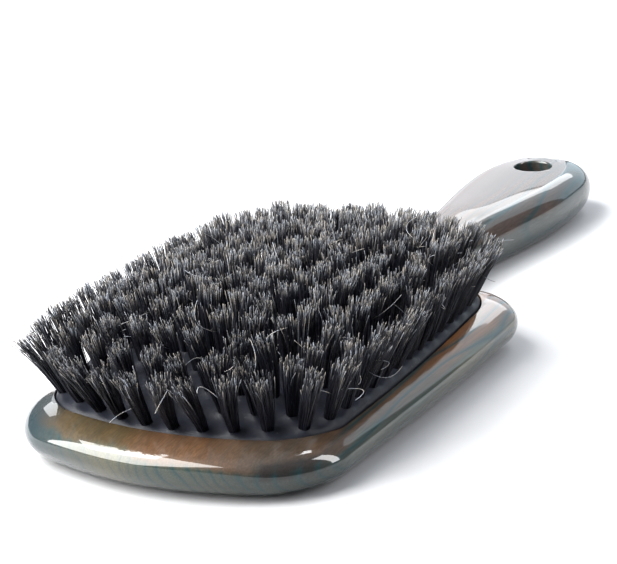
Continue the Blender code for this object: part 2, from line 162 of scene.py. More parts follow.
soft_light("high_backdrop", -24, 26.7, 1.5, (56, 13.5), 3.8, (0.97, 0.98, 1))
soft_light("low_backdrop", -31, 11, 1.5, (28, 18), 1.8, (0.96, 0.96, 1))
soft_light("blue_wall", 8, 20, 1.5, (48, 36), 1.5, (0.74, 0.90, 1))
soft_light("window", -131, 41, 1.2, (56, 62), 15, (1, 1, 0.97))
soft_light("skylight", -92, 56, 1.2, (22, 20), 13, (1, 1, 0.97))
soft_light("right_strip", 76, 30, 1.0, (11, 44), 14)
soft_light("high_lamp", 39, 69, 1.0, (8, 8), 18)
soft_light("rear_lamp", 5, 49, 1.0, (7, 5), 14)

# %% [markdown]
# ## Lines in plan
# The paddle is drawn as a maker would draw it: straight lines first, then rounded
# corners, then the front and the sides are swelled a little. Only the right half is
# drawn, and the left half is its mirror image. The two halves never meet on the centre
# line itself, so that one edge crosses it at each end, which makes closing easy later.

# %% Helpers for lines in plan
def ease(t):
    """Ease from 0 to 1."""
    t = min(max(t, 0.0), 1.0)
    return t * t * (3 - 2 * t)


def rounded(corners, steps=48):
    """Points along a path of (x, y, radius) corners, with each corner turned into an arc."""
    points = [Vector(corners[0][:2])]
    for before, corner, after in zip(corners, corners[1:], corners[2:]):
        here = Vector(corner[:2])
        back = (Vector(before[:2]) - here).normalized()
        ahead = (Vector(after[:2]) - here).normalized()
        half_angle = back.angle(ahead) / 2
        reach = corner[2] / math.tan(half_angle)
        centre = here + (back + ahead).normalized() * (corner[2] / math.sin(half_angle))
        start, end = here + back * reach - centre, here + ahead * reach - centre
        angle = start.angle_signed(end)
        points += [centre + Matrix.Rotation(-angle * step / steps, 2) @ start
                   for step in range(steps + 1)]
    return points + [Vector(corners[-1][:2])]


def evenly(points, count, inset=0.0):
    """The same line with evenly spaced points. inset leaves a share of a step at each end."""
    line = np.array([tuple(p) for p in points])
    run = np.concatenate([[0], np.cumsum(np.linalg.norm(np.diff(line, axis=0), axis=1))])
    step = run[-1] / (count - 1 + 2 * inset)
    at = (np.arange(count) + inset) * step
    return [Vector((np.interp(a, run, line[:, 0]), np.interp(a, run, line[:, 1])))
            for a in at]


def bowed(points, half_width, front_y, rear_y, front_bow, rear_bow, side_bow):
    """Swell the straight front, rear and sides of an outline into shallow curves."""
    middle, half = (front_y + rear_y) / 2, (rear_y - front_y) / 2
    result = []
    for point in points:
        across = min(abs(point.x) / half_width, 1.0)
        along = max(-1.0, min((point.y - middle) / half, 1.0))
        bow = rear_bow * ease(2 * along - 0.6) - front_bow * ease(-2 * along - 0.6)
        swell = side_bow * (1 - along * along) * across
        result.append(Vector((point.x + swell, point.y + bow * (1 - across * across))))
    return result


def moved_out(points, distances):
    """Each point of a half line moved outwards by its own distance."""
    ends = [Vector((-points[0].x, points[0].y)), Vector((-points[-1].x, points[-1].y))]
    path = [ends[0], *points, ends[1]]
    result = []
    for before, here, after, step in zip(path, path[1:], path[2:], distances):
        way = ((here - before).normalized() + (after - here).normalized()).normalized()
        result.append(here + Vector((way.y, -way.x)) * step)
    return result


def both_sides(half):
    """A closed line from its right half, counter-clockwise from the front."""
    return list(half) + [Vector((-p.x, p.y)) for p in reversed(half)]


# %% The paddle's widest line
low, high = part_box("paddle_body")
FRONT_Y, END_Y = low.y, high.y
HEAD_LENGTH, HEAD_WIDTH = 129.1 * MM, 82.7 * MM
SIDE_BOW, FRONT_BOW = 1.5 * MM, 13.6 * MM
FRONT_CORNER, SHOULDER_CORNER, NECK_FILLET = 12.4 * MM, 14.2 * MM, 14 * MM
SHOULDER_SLOPE, NECK_WIDTH, NECK_RUN = 8.4 * MM, 18.7 * MM, 23.5 * MM
HANDLE_WIDTH, HANDLE_END, END_SQUARENESS = 32.7 * MM, 27.5 * MM, 2.9
CORNER_Y = FRONT_Y + FRONT_BOW
SHOULDER_Y = FRONT_Y + HEAD_LENGTH
NECK_Y = SHOULDER_Y + NECK_RUN
WIDEST_Y = END_Y - HANDLE_END
FINE_COUNT, HANDLE_COUNT, END_COUNT, HALF_COUNT = 500, 90, 80, 230


def handle_half_width(y):
    """Half the handle's width, which grows from the neck to the widest place."""
    share = ease((y - NECK_Y) / (WIDEST_Y - NECK_Y))
    return (NECK_WIDTH + (HANDLE_WIDTH - NECK_WIDTH) * share) / 2


def paddle_line():
    """The right half of the paddle's widest line, from the front to the handle's end."""
    line = rounded([(0, CORNER_Y, 0), (HEAD_WIDTH / 2, CORNER_Y, FRONT_CORNER),
                    (HEAD_WIDTH / 2, SHOULDER_Y, SHOULDER_CORNER),
                    (NECK_WIDTH / 2, SHOULDER_Y + SHOULDER_SLOPE, NECK_FILLET),
                    (NECK_WIDTH / 2, NECK_Y, 0)])
    line = bowed(evenly(line, FINE_COUNT), HEAD_WIDTH / 2, CORNER_Y, SHOULDER_Y,
                 FRONT_BOW, 0, SIDE_BOW)
    line += [Vector((handle_half_width(y), y))
             for y in np.linspace(NECK_Y, WIDEST_Y, HANDLE_COUNT)[1:]]
    for angle in np.linspace(0, math.pi / 2, END_COUNT)[1:]:
        side = max(math.cos(angle), 0.0) ** (2 / END_SQUARENESS)
        along = math.sin(angle) ** (2 / END_SQUARENESS)
        line.append(Vector((HANDLE_WIDTH / 2 * side, WIDEST_Y + HANDLE_END * along)))
    return evenly(line, HALF_COUNT, inset=0.5)


WIDEST_LINE = paddle_line()
print(len(WIDEST_LINE), "points in half of the widest line")

# %% [markdown]
# ## From line to solid
# Each solid here grows as it would by hand: a ring is laid, extruded, and the new ring is
# drawn in or out to its own line. A circle primitive gives the first ring. At the end the
# open rings are closed, either with one flat face, or with strips from side to side
# where the closed face has to bend with the piece.

# %% Helpers for growing a solid from rings
def only(piece):
    """Make a piece the one selected and active object."""
    if bpy.context.mode != "OBJECT":
        bpy.ops.object.mode_set(mode="OBJECT")
    bpy.ops.object.select_all(action="DESELECT")
    piece.select_set(True)
    bpy.context.view_layer.objects.active = piece


def edit(piece, kind="VERT"):
    """Open a piece for editing, with nothing selected."""
    only(piece)
    bpy.ops.object.mode_set(mode="EDIT")
    bpy.ops.mesh.select_mode(type=kind)
    bpy.ops.mesh.select_all(action="DESELECT")


def lay(piece, places):
    """Move the newest vertices of a piece that is open for editing to their places."""
    bm = bmesh.from_edit_mesh(piece.data)
    bm.verts.ensure_lookup_table()
    for vert, place in zip(bm.verts[-len(places):], places):
        vert.co = place
    bmesh.update_edit_mesh(piece.data)


def grow(name, rings):
    """A skin through rings of places, each an extrusion of the one before."""
    bpy.ops.object.select_all(action="DESELECT")
    bpy.ops.mesh.primitive_circle_add(vertices=len(rings[0]), radius=MM)
    piece = bpy.context.object
    piece.name = piece.data.name = name
    bpy.ops.object.mode_set(mode="EDIT")
    bpy.ops.mesh.select_all(action="SELECT")
    lay(piece, rings[0])
    for ring in rings[1:]:
        bpy.ops.mesh.extrude_region_move()
        lay(piece, ring)
    bpy.ops.object.mode_set(mode="OBJECT")
    return piece


def select_ring(piece, number, count, kind="VERT"):
    """The vertices of one ring of a grown piece, which stays open for editing with nothing
    selected.
    """
    edit(piece, kind)
    bm = bmesh.from_edit_mesh(piece.data)
    bm.verts.ensure_lookup_table()
    total = len(bm.verts) // count
    start = (number % total) * count
    return bm, bm.verts[start:start + count]


def close_flat(piece, number, count):
    """Close one ring with a single face."""
    bm, ring = select_ring(piece, number, count)
    for vert in ring:
        vert.select = True
    bm.select_flush_mode()
    bpy.ops.mesh.edge_face_add()
    bpy.ops.object.mode_set(mode="OBJECT")


def close_with_strips(piece, number, count):
    """Close one ring with strips that run from its right side to its left."""
    bm, ring = select_ring(piece, number, count, "EDGE")
    members = set(ring)
    for vert in ring:
        for edge in vert.link_edges:
            other = edge.other_vert(vert)
            if other in members and other.co.x * vert.co.x > 0:
                edge.select = True
    bmesh.update_edit_mesh(piece.data)
    bpy.ops.mesh.bridge_edge_loops()
    bpy.ops.object.mode_set(mode="OBJECT")


def facing_out(piece):
    """Turn every face of a closed piece outwards."""
    edit(piece)
    bpy.ops.mesh.select_all(action="SELECT")
    bpy.ops.mesh.normals_make_consistent(inside=False)
    bpy.ops.object.mode_set(mode="OBJECT")


def cut_out(piece, cutter):
    """Cut one solid out of another and throw the cutter away."""
    only(piece)
    modifier = piece.modifiers.new("cut", "BOOLEAN")
    modifier.operation, modifier.solver, modifier.object = "DIFFERENCE", "EXACT", cutter
    bpy.ops.object.modifier_apply(modifier=modifier.name)
    bpy.data.objects.remove(cutter, do_unlink=True)


def smooth_shaded(piece, degrees):
    """Shade a piece smoothly, except over edges that are sharper than so many degrees."""
    only(piece)
    bpy.ops.object.shade_smooth_by_angle(angle=math.radians(degrees))


def in_space(line, heights):
    """A closed line in plan, lifted point by point."""
    return [Vector((p.x, p.y, z)) for p, z in zip(line, heights)]


# %% [markdown]
# ## The paddle's section
# The paddle is one block of wood, sawn to its outline and then sanded round all along,
# like a flat pebble. Its rounding is widest under the front of the head and tightest
# along the handle. The rings climb from the underside to the top in even turns of a
# quarter circle each, so the lacquered edge has no visible corners.

# %% Thickness and edges
HEAD_THICKNESS, NECK_THICKNESS, HANDLE_THICKNESS = 12.3 * MM, 13.5 * MM, 15.7 * MM
TOP_EDGE, FRONT_UNDER_EDGE, REAR_UNDER_EDGE = 10.8 * MM, 12 * MM, 8 * MM
HANDLE_EDGE, END_EDGE = 5.6 * MM, 9.5 * MM
FRONT_WIDEST, SIDE_WIDEST, OTHER_WIDEST = 0.68, 0.57, 0.5
HANDLE_CROWN = 0.5 * MM
QUARTER_STEPS = 12
RISE_START, RISE_RUN, RISE_FADE = 10 * MM, 49 * MM, 12 * MM
FLAT_FRONT, FRONT_FADE, FRONT_REACH = 14 * MM, 23 * MM, 8 * MM
SIDE_FROM, SIDE_FADE, SIDE_END_FADE = -105 * MM, 30 * MM, 12 * MM
CORNER_REACH, CORNER_SHARE = 2.2, 0.88


def head_top(y):
    """Height of the head's top, which slopes a little along its length."""
    share = (y - FRONT_Y) / HEAD_LENGTH
    return HEAD_THICKNESS + (NECK_THICKNESS - HEAD_THICKNESS) * share


def climb(y):
    """How steeply the top rises behind the head: quickly along the neck, then not at all."""
    beyond = y - SHOULDER_Y
    return ease(beyond / RISE_START) * (1 - ease((beyond - RISE_RUN) / RISE_FADE))


STATIONS = np.linspace(SHOULDER_Y, END_Y, 400)
CLIMBED = np.cumsum([climb(y) for y in STATIONS])


def thickness(y):
    """Height of the paddle's top anywhere along it."""
    if y < SHOULDER_Y:
        return head_top(y)
    share = np.interp(y, STATIONS, CLIMBED) / CLIMBED[-1]
    return NECK_THICKNESS + (HANDLE_THICKNESS - NECK_THICKNESS) * share


def widest_share(point):
    """The height of the widest line as a share of the thickness."""
    front = (1 - ease((abs(point.x) - FLAT_FRONT) / FRONT_FADE)
             if point.y < CORNER_Y + FRONT_REACH else 0)
    side = (ease((point.y - SIDE_FROM) / SIDE_FADE)
            * ease((SHOULDER_Y - point.y) / SIDE_END_FADE))
    return (OTHER_WIDEST + (FRONT_WIDEST - OTHER_WIDEST) * front
            + (SIDE_WIDEST - OTHER_WIDEST) * side)


def edge_run(y, upper):
    """How far the rounding runs in from the widest line."""
    share = min((y - FRONT_Y) / HEAD_LENGTH, 1.0)
    under = FRONT_UNDER_EDGE + (REAR_UNDER_EDGE - FRONT_UNDER_EDGE) * share
    head = TOP_EDGE if upper else under
    if y > WIDEST_Y:
        return HANDLE_EDGE + (END_EDGE - HANDLE_EDGE) * ease((y - WIDEST_Y) / HANDLE_END)
    return head + (HANDLE_EDGE - head) * ease((y - SHOULDER_Y) / NECK_RUN)


def smoothed(values, count):
    """The running mean of each value and its neighbours, over an odd count."""
    return np.convolve(np.pad(values, count // 2, mode="edge"), np.ones(count) / count,
                       mode="valid")


def paddle_rings():
    """The rings of the paddle, from its underside to its top."""
    under = np.array([edge_run(p.y, False) for p in WIDEST_LINE])
    over = [edge_run(p.y, True) for p in WIDEST_LINE]
    corner = np.array([math.hypot(p.x - (HEAD_WIDTH / 2 - FRONT_CORNER),
                                  p.y - (CORNER_Y + FRONT_CORNER)) for p in WIDEST_LINE])
    limit = np.where(corner < CORNER_REACH * FRONT_CORNER, CORNER_SHARE * FRONT_CORNER, under)
    under = smoothed(np.minimum(under, limit), 25)
    widest = smoothed([widest_share(p) for p in WIDEST_LINE], 9)
    thick = np.array([thickness(p.y) for p in WIDEST_LINE])
    crown = np.array([HANDLE_CROWN * ease((p.y - SHOULDER_Y) / NECK_RUN)
                      for p in WIDEST_LINE])
    below, above = widest * thick, (1 - widest) * thick - crown
    rings = []
    for step in range(-QUARTER_STEPS, QUARTER_STEPS + 1):
        angle = math.pi / 2 * step / QUARTER_STEPS
        run = under if step <= 0 else over
        half = moved_out(WIDEST_LINE, [-r * (1 - math.cos(angle)) for r in run])
        heights = list(below + math.sin(angle) * (below if step <= 0 else above))
        rings.append(in_space(both_sides(half), heights + heights[::-1]))
    edge = half
    for inward in (0.25, 0.5, 0.75):
        half = [Vector((p.x * (1 - inward), p.y)) for p in edge]
        heights = list(thick - crown * (1 - inward) ** 2)
        rings.append(in_space(both_sides(half), heights + heights[::-1]))
    return rings


rings = paddle_rings()
paddle = grow("wooden_paddle", rings)
close_with_strips(paddle, 0, len(rings[0]))
close_with_strips(paddle, -1, len(rings[0]))
facing_out(paddle)
print("the paddle block has", len(paddle.data.polygons), "faces")

# %% [markdown]
# ## The recess
# A router sinks the recess for the cushion and an undercut groove near its top, which
# holds the rubber's flange. The cutter is a solid of that shape. Its mouth flares in a
# small arc, because the lip is sanded before the lacquer goes on. The head is sanded so
# round that the lip is lower along the sides, so each point of the mouth is measured by
# dropping a line on the finished block.

# %% Cut the recess
FRONT_RIM, REAR_RIM = 11.6 * MM, 6 * MM
FRONT_SIDE_RIM, REAR_SIDE_RIM = 4.4 * MM, 7.8 * MM
RECESS_FRONT_BOW, RECESS_REAR_BOW, RECESS_SIDE_BOW = 8.6 * MM, 7.8 * MM, 2.1 * MM
RECESS_FRONT_CORNER, RECESS_REAR_CORNER = 11.8 * MM, 13.2 * MM
RECESS_FLOOR, GROOVE_DEPTH, GROOVE_HEIGHT, GROOVE_LEVEL = 4.5 * MM, 1.8 * MM, 2.1 * MM, 8.9 * MM
LIP_ROUND, LIP_STEPS, FLARE, CLEAR = 0.4 * MM, 5, 0.1 * MM, 1.5 * MM
RECESS_FRONT_HALF = HEAD_WIDTH / 2 - FRONT_SIDE_RIM
RECESS_REAR_HALF = HEAD_WIDTH / 2 - REAR_SIDE_RIM
RECESS_CORNER_Y = FRONT_Y + FRONT_RIM + RECESS_FRONT_BOW
RECESS_REAR_Y = SHOULDER_Y - REAR_RIM
RECESS_MIDDLE_Y = (RECESS_CORNER_Y + RECESS_REAR_Y) / 2
RECESS_COUNT = 200


def recess_line():
    """The right half of the recess's wall, from the front to the rear."""
    line = rounded([(0, RECESS_CORNER_Y, 0),
                    (RECESS_FRONT_HALF, RECESS_CORNER_Y, RECESS_FRONT_CORNER),
                    (RECESS_REAR_HALF, RECESS_REAR_Y, RECESS_REAR_CORNER),
                    (0, RECESS_REAR_Y, 0)])
    line = bowed(evenly(line, FINE_COUNT), RECESS_FRONT_HALF, RECESS_CORNER_Y, RECESS_REAR_Y,
                 RECESS_FRONT_BOW, RECESS_REAR_BOW, RECESS_SIDE_BOW)
    return evenly(line, RECESS_COUNT, inset=0.5)


def widened_recess(out):
    """The whole line of the recess, moved outwards by one distance."""
    return both_sides(moved_out(RECESS_LINE, [out] * RECESS_COUNT))


def top_of(piece, x, y):
    """Height of a piece's upper surface at one place."""
    found, place, _, _ = piece.ray_cast(Vector((x, y, 1)), Vector((0, 0, -1)))
    return place.z if found else head_top(y)


RECESS_LINE = recess_line()
count = 2 * RECESS_COUNT
GROOVE_LOW, GROOVE_HIGH = GROOVE_LEVEL - GROOVE_HEIGHT / 2, GROOVE_LEVEL + GROOVE_HEIGHT / 2
levels = [(0, RECESS_FLOOR), (0, GROOVE_LOW), (GROOVE_DEPTH, GROOVE_LOW),
          (GROOVE_DEPTH, GROOVE_HIGH), (0, GROOVE_HIGH)]
rings = [in_space(widened_recess(out), [z] * count) for out, z in levels]
lip = [top_of(paddle, p.x, p.y) for p in RECESS_LINE]
lip += lip[::-1]
for step in range(LIP_STEPS + 1):
    angle = math.pi / 2 * step / LIP_STEPS
    out = LIP_ROUND * (1 - math.cos(angle))
    rings.append(in_space(widened_recess(out),
                          [z - LIP_ROUND * (1 - math.sin(angle)) for z in lip]))
rings.append(in_space(widened_recess(LIP_ROUND + FLARE), [z + CLEAR for z in lip]))
router = grow("recess_router", rings)
close_flat(router, 0, count)
close_flat(router, -1, count)
facing_out(router)
cut_out(paddle, router)
print("after the recess it has", len(paddle.data.polygons), "faces")

# %% [markdown]
# ## The hanging hole
# The hole near the handle's end is drilled from a cylinder whose two ends flare, because
# a drilled edge is broken with sandpaper. The flare is made by extruding each end face
# and scaling it up in small steps.

# %% Drill the hole
HOLE_DIAMETER, HOLE_FROM_END, HOLE_EASE, EASE_STEPS = 11 * MM, 19 * MM, 0.7 * MM, 5
hole_y = END_Y - HOLE_FROM_END
bpy.ops.object.select_all(action="DESELECT")
bpy.ops.mesh.primitive_cylinder_add(vertices=72, radius=HOLE_DIAMETER / 2,
                                    depth=HANDLE_THICKNESS - 2 * HOLE_EASE,
                                    location=(0, hole_y, HANDLE_THICKNESS / 2))
drill = bpy.context.object
bpy.ops.object.transform_apply(location=True, rotation=False, scale=False)
for side in (-1, 1):
    edit(drill, "FACE")
    bm = bmesh.from_edit_mesh(drill.data)
    for face in bm.faces:
        face.select = face.normal.z * side > 0.9
    bmesh.update_edit_mesh(drill.data)
    radius = HOLE_DIAMETER / 2
    for step in range(1, EASE_STEPS + 1):
        angle = math.pi / 2 * step / EASE_STEPS
        wider = HOLE_DIAMETER / 2 + HOLE_EASE * (1 - math.cos(angle))
        rise = HOLE_EASE * (math.sin(angle) - math.sin(angle - math.pi / 2 / EASE_STEPS))
        bpy.ops.mesh.extrude_region_move(
            TRANSFORM_OT_translate={"value": (0, 0, side * rise)})
        bpy.ops.transform.resize(value=(wider / radius, wider / radius, 1),
                                 center_override=(0, hole_y, 0))
        radius = wider
    bpy.ops.mesh.extrude_region_move(TRANSFORM_OT_translate={"value": (0, 0, side * CLEAR)})
    bpy.ops.object.mode_set(mode="OBJECT")
facing_out(drill)
cut_out(paddle, drill)
smooth_shaded(paddle, 40)
paddle.data.materials.clear()
print("the drilled paddle has", len(paddle.data.polygons), "faces")

# %% [markdown]
# ## Effects that several finishes share
# Two effects come back in more than one finish, so each is a node group with its own
# inputs. Patches drift slowly between light and dark, as wood and rubber do. Specks are
# tiny sparse dots: dust under lacquer, or talc left on rubber.

# %% Node groups
def new_group(name, takes, gives):
    """An empty node group with named inputs and outputs."""
    group = bpy.data.node_groups.new(name, "ShaderNodeTree")
    for socket, kind, value in takes:
        made = group.interface.new_socket(socket, in_out="INPUT", socket_type=kind)
        if value is not None:
            made.default_value = value
    for socket, kind in gives:
        group.interface.new_socket(socket, in_out="OUTPUT", socket_type=kind)
    start, end = group.nodes.new("NodeGroupInput"), group.nodes.new("NodeGroupOutput")
    return group, start.outputs, end.inputs


VECTOR, FLOAT = "NodeSocketVector", "NodeSocketFloat"
patches, takes, gives = new_group(
    "patches", [("Place", VECTOR, None), ("Scale", FLOAT, 30), ("Low", FLOAT, 0.35),
                ("High", FLOAT, 0.65)], [("Mask", FLOAT)])
drift = node(patches, "TexNoise", {"Vector": takes["Place"], "Scale": takes["Scale"],
                                   "Detail": 3.0, "Roughness": 0.55})
spread = node(patches, "MapRange", {
    "Value": drift.outputs["Fac"], "From Min": takes["Low"], "From Max": takes["High"]},
              interpolation_type="SMOOTHSTEP")
patches.links.new(spread.outputs["Result"], gives["Mask"])

specks, takes, gives = new_group(
    "specks", [("Place", VECTOR, None), ("Scale", FLOAT, 900), ("Size", FLOAT, 0.2)],
    [("Mask", FLOAT)])
cells = node(specks, "TexVoronoi", {"Vector": takes["Place"], "Scale": takes["Scale"]})
rare = node(specks, "MapRange", {
    "Value": cells.outputs["Distance"], "From Min": takes["Size"], "From Max": 0.0})
few = node(specks, "SeparateColor", {"Color": cells.outputs["Color"]})
chosen = node(specks, "Math", {0: few.outputs["Red"], 1: 0.72}, operation="GREATER_THAN")
both = node(specks, "Math", {0: rare.outputs["Result"], 1: chosen.outputs["Value"]},
            operation="MULTIPLY")
specks.links.new(both.outputs["Value"], gives["Mask"])


def placed(tree, group, inputs):
    """A group placed in a tree, giving its mask."""
    new = tree.nodes.new("ShaderNodeGroup")
    new.node_tree = group
    for name, value in inputs.items():
        if isinstance(value, bpy.types.NodeSocket):
            tree.links.new(value, new.inputs[name])
        else:
            new.inputs[name].default_value = value
    return new.outputs["Mask"]


def mixed(tree, factor, first, second, blend="MIX"):
    """Two colours mixed by a factor."""
    new = node(tree, "Mix", {0: factor, 6: first, 7: second}, data_type="RGBA",
               blend_type=blend)
    return new.outputs[2]


def calc(tree, operation, first, second=0.0, third=0.0):
    """One sum on values, such as ADD or MULTIPLY_ADD."""
    new = node(tree, "Math", {0: first, 1: second, 2: third}, operation=operation)
    return new.outputs["Value"]


def times(tree, first, second):
    """Two values multiplied."""
    return calc(tree, "MULTIPLY", first, second)


def between(tree, value, start, end):
    """0 where a value is at start, 1 where it is at end, and smooth from one to the other."""
    return node(tree, "MapRange", {"Value": value, "From Min": start, "From Max": end},
                interpolation_type="SMOOTHSTEP").outputs["Result"]


print("node groups:", [group.name for group in (patches, specks)])

# %% [markdown]
# ## Lacquered wood
# The paddle is cut from one board of an oily, green-brown hardwood. Its growth rings
# stand nearly upright, so they show as fine stripes on the front, as long lines on top
# and as wide arches where the sides curve through them. Rings are drawn here as bands of
# one distance that is measured from a far axis and bent a little by noise. The colour is
# warm brown in a band near the top and olive lower down, and that olive is partly painted
# reflection of the table in the lacquer. It turns slate along the head's sides and
# towards the handle. The front has painted reflections: darker to the right, with one dark
# line of painted reflection along it, and a painted bluish reflection and painted shade to
# the left. The lacquer itself is the shader's clear coat.

# %% Growth rings and pores
RING_AXIS_X, RING_AXIS_Z, RING_BEND, RINGS_PER_METRE = 0.115, 0.02, 0.016, 330.0


def growth_lines(tree, parts, along):
    """Dark lines where the growth rings, which bend a little, cut through the surface."""
    bend = node(tree, "TexNoise", {"Vector": along, "Scale": 55.0, "Detail": 2.0,
                                   "Roughness": 0.4}).outputs["Fac"]
    shift = calc(tree, "MULTIPLY_ADD", bend, RING_BEND, -RING_BEND / 2)
    axis = node(tree, "CombineXYZ", {
        "X": calc(tree, "ADD", parts["X"], RING_AXIS_X),
        "Z": calc(tree, "ADD", parts["Z"], RING_AXIS_Z)}).outputs["Vector"]
    reach = node(tree, "VectorMath", {0: axis}, operation="LENGTH").outputs["Value"]
    rings = calc(tree, "FRACT", times(tree, calc(tree, "ADD", reach, shift),
                                      RINGS_PER_METRE))
    line = ramp(tree, rings, [(0.0, (0.15,) * 3), (0.4, (0, 0, 0)), (0.65, (0.3,) * 3),
                              (0.86, (1, 1, 1)), (1.0, (0.15,) * 3)])
    strength = placed(tree, patches, {"Place": along, "Scale": 38.0,
                                      "Low": 0.34, "High": 0.62})
    return times(tree, line, calc(tree, "MULTIPLY_ADD", strength, 0.75, 0.25))


def pore_shade(tree, place):
    """A grey that darkens and lightens the wood along its fibres."""
    fibre = node(tree, "Mapping", {"Vector": place, "Scale": (1, 0.05, 1)}).outputs["Vector"]
    pores = node(tree, "TexNoise", {"Vector": fibre, "Scale": 2600.0,
                                    "Detail": 2.0}).outputs["Fac"]
    pores = node(tree, "MapRange", {"Value": pores, "From Min": 0.35, "From Max": 0.7,
                                    "To Min": 0.78, "To Max": 1.18}).outputs["Result"]
    return node(tree, "CombineColor", {"Red": pores, "Green": pores,
                                       "Blue": pores}).outputs["Color"]


# %% Stains, painted reflections and painted shade
# WARM is the wood's own colour; OLIVE is partly the wood's tone and partly painted reflection
# of the table.
WARM, OLIVE = (0.145, 0.052, 0.010, 1), (0.066, 0.058, 0.034, 1)
SLATE, TEAL = (0.008, 0.018, 0.023, 1), (0.004, 0.023, 0.027, 1)
# The last pair are painted colours: a darker brown for painted shade and a near-black for
# painted dark reflections.
SHADED_BROWN, DARK_REFLECTION = (0.052, 0.033, 0.014, 1), (0.010, 0.008, 0.007, 1)


def stains_and_painted_light(tree, parts, along, line):
    """The wood's colour: stains, painted reflections and painted shade, then the growth lines.
    """
    x, y, z = parts["X"], parts["Y"], parts["Z"]
    front = between(tree, y, -90 * MM, -104 * MM)
    # Painted dark reflection: the front darkens to the right, and its warm top band reaches
    # lower there.
    right = times(tree, front, between(tree, x, 12 * MM, 28 * MM))
    # Painted bluish reflection on the left of the front, in the olive lower down.
    left = times(tree, front, between(tree, x, -2 * MM, -26 * MM))
    # Painted slate reflection at the left corner of the front.
    tip = times(tree, front, between(tree, x, -20 * MM, -34 * MM))
    # Painted shade: the warm band turns a darker brown left of the middle.
    painted_shade_left = times(tree, front, between(tree, x, 4 * MM, -7 * MM))
    sides = times(tree, between(tree, calc(tree, "ABSOLUTE", x), 35 * MM, 42 * MM),
                  between(tree, y, -32 * MM, -56 * MM))
    to_handle = between(tree, y, 12 * MM, 55 * MM)
    cool = placed(tree, patches, {"Place": along, "Scale": 22.0, "Low": 0.46, "High": 0.66})
    # Painted dark reflection: a dark band at the right end of the front, about 8 mm up.
    off_reflection_line = calc(tree, "ABSOLUTE", calc(tree, "SUBTRACT", z, 8 * MM))
    dark_reflection_line = times(tree, between(tree, off_reflection_line, 2.3 * MM, 1.2 * MM),
                   times(tree, between(tree, x, 26 * MM, 30 * MM),
                         between(tree, x, 41 * MM, 37 * MM)))

    # A warm band near the top, in the wood's own colour; below it the olive is partly painted
    # reflection of the table.
    stain = placed(tree, patches, {"Place": along, "Scale": 46.0, "Low": 0.38, "High": 0.62})
    level = calc(tree, "MULTIPLY_ADD", stain, 2 * MM, z)
    level = calc(tree, "MULTIPLY_ADD", right, 1.6 * MM, level)
    upper = between(tree, level, 10.6 * MM, 12.2 * MM)
    lower_olive_and_reflection = mixed(tree, times(tree, left, 0.8), OLIVE, SLATE)
    colour = mixed(tree, upper, lower_olive_and_reflection, mixed(tree, painted_shade_left, WARM, SHADED_BROWN))
    for place, strength, shade in (
            (tip, 0.85, SLATE), (right, 0.5, DARK_REFLECTION), (sides, 0.3, SLATE),
            (to_handle, 0.75, SLATE), (cool, 0.55, TEAL),
            (times(tree, dark_reflection_line, front), 0.9, DARK_REFLECTION)):
        colour = mixed(tree, times(tree, place, strength), colour, shade)

    rim = times(tree, upper, front)
    line = times(tree, line, calc(tree, "MULTIPLY_ADD", rim, -0.8, 0.95))
    return mixed(tree, line, colour, TEAL)


# %% Wood finish
def lacquered_wood():
    """Stained wood with painted reflections and shade, and pores, under a clear, nearly smooth
    coat.
    """
    wood, tree, shader = new_material("lacquered_wood", Roughness=0.5, Coat_Weight=1.0,
                                      Coat_Roughness=0.03, Coat_IOR=1.46)
    shader.inputs["Specular IOR Level"].default_value = 0.08
    place = node(tree, "TexCoord").outputs["Object"]
    along = node(tree, "Mapping", {"Vector": place, "Scale": (1, 0.22, 1)}).outputs["Vector"]
    parts = node(tree, "SeparateXYZ", {"Vector": place}).outputs
    colour = stains_and_painted_light(tree, parts, along, growth_lines(tree, parts, along))
    colour = mixed(tree, 1.0, colour, pore_shade(tree, place), "MULTIPLY")
    tree.links.new(colour, shader.inputs["Base Color"])
    dust = placed(tree, specks, {"Place": place, "Scale": 1100.0, "Size": 0.16})
    tree.links.new(calc(tree, "MULTIPLY_ADD", dust, 0.3, 0.45), shader.inputs["Roughness"])
    wave = node(tree, "TexNoise", {"Vector": place, "Scale": 160.0,
                                   "Detail": 1.0}).outputs["Fac"]
    relief = calc(tree, "MULTIPLY_ADD", dust, 0.15, wave)
    bump = node(tree, "Bump", {"Strength": 0.25, "Distance": 0.0001, "Height": relief})
    tree.links.new(bump.outputs["Normal"], shader.inputs["Normal"])
    return wood


# %% Put the paddle in the frame
paddle.data.materials.append(lacquered_wood())
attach(paddle, "paddle")
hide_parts("paddle_body")

# %% [markdown]
# ## Where the tufts stand
# The CAD rows already say where each tuft stands and which way it leans. Every tuft there
# ends in a flat five-sided face, whose middle is the tuft's end and whose normal is its
# direction, so the faces that look up are enough to find all the tufts of a row.

# %% Read the tufts from the CAD rows
TUFT_LENGTH, ROW_COUNT = 16.6 * MM, 15
LOWEST_END, LEAST_UP = 22 * MM, 0.7


def tufts_of(row):
    """Each tuft of a CAD row as its foot on the rubber and its direction."""
    ends = []
    for face in row.data.polygons:
        if face.normal.z < LEAST_UP or face.center.z < LOWEST_END:
            continue
        corners = {tuple(round(c, 5) for c in row.data.vertices[v].co)
                   for v in face.vertices}
        for end in ends:
            if end[0] & corners:
                end[0].update(corners)
                break
        else:
            ends.append((corners, face.normal.copy()))
    tufts = []
    for corners, way in ends:
        middle = sum((Vector(corner) for corner in corners), Vector()) / len(corners)
        tufts.append((middle - way * TUFT_LENGTH, way))
    return sorted(tufts, key=lambda tuft: tuft[0].x)


ROWS = [tufts_of(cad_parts[f"tuft_row_{number:02d}"])
        for number in range(1, ROW_COUNT + 1)]
TUFTS = [tuft for row in ROWS for tuft in row]
print(len(TUFTS), "tufts in rows of", [len(row) for row in ROWS])

